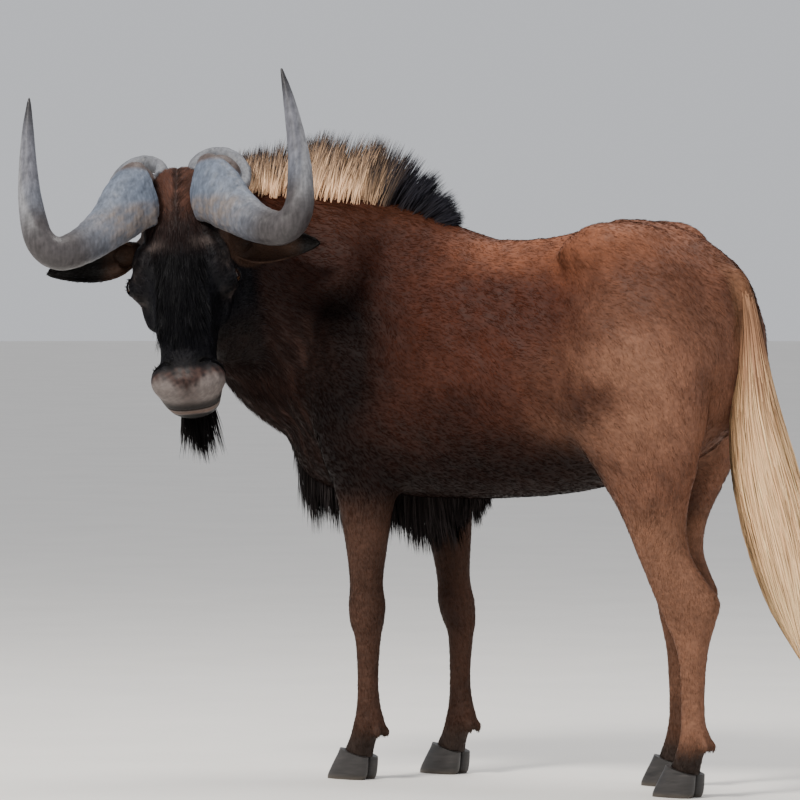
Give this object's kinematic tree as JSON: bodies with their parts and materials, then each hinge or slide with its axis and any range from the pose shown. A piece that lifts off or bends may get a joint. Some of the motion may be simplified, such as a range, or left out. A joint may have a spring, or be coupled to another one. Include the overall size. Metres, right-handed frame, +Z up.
{
  "type": "standing black wildebeest bull, still life-size model",
  "caption": "Life-size still model of a black wildebeest bull standing and looking back over its left shoulder.",
  "frame": {"origin": "on the floor, below the middle of the whole outline", "axes": "+Z up; the body faces -X and its left side faces -Y"},
  "size_m": [1.5508, 0.8082, 1.4345],
  "materials": {
    "dark_face_coat": "matt short hair",
    "brown_body_coat": "short sleek hair",
    "leg_coat": "short matt hair",
    "cream_tail_hair": "long coarse hair",
    "grey_horn": "weathered horn",
    "hoof_horn": "worn dark hoof",
    "eye": "wet gloss"
  },
  "bodies": {
    "root": {"head": "dark_face_coat", "neck": "brown_body_coat", "torso": "brown_body_coat", "foreleg_left": "leg_coat", "foreleg_right": "leg_coat", "hindleg_left": "leg_coat", "hindleg_right": "leg_coat", "hoof_fore_left_inner": "hoof_horn", "hoof_fore_left_outer": "hoof_horn", "hoof_fore_right_inner": "hoof_horn", "hoof_fore_right_outer": "hoof_horn", "hoof_hind_left_inner": "hoof_horn", "hoof_hind_left_outer": "hoof_horn", "hoof_hind_right_inner": "hoof_horn", "hoof_hind_right_outer": "hoof_horn", "horn_left": "grey_horn", "horn_right": "grey_horn", "ear_left": "dark_face_coat", "ear_right": "dark_face_coat", "eye_left": "eye", "eye_right": "eye", "tail": "cream_tail_hair"}
  },
  "joints": []
}
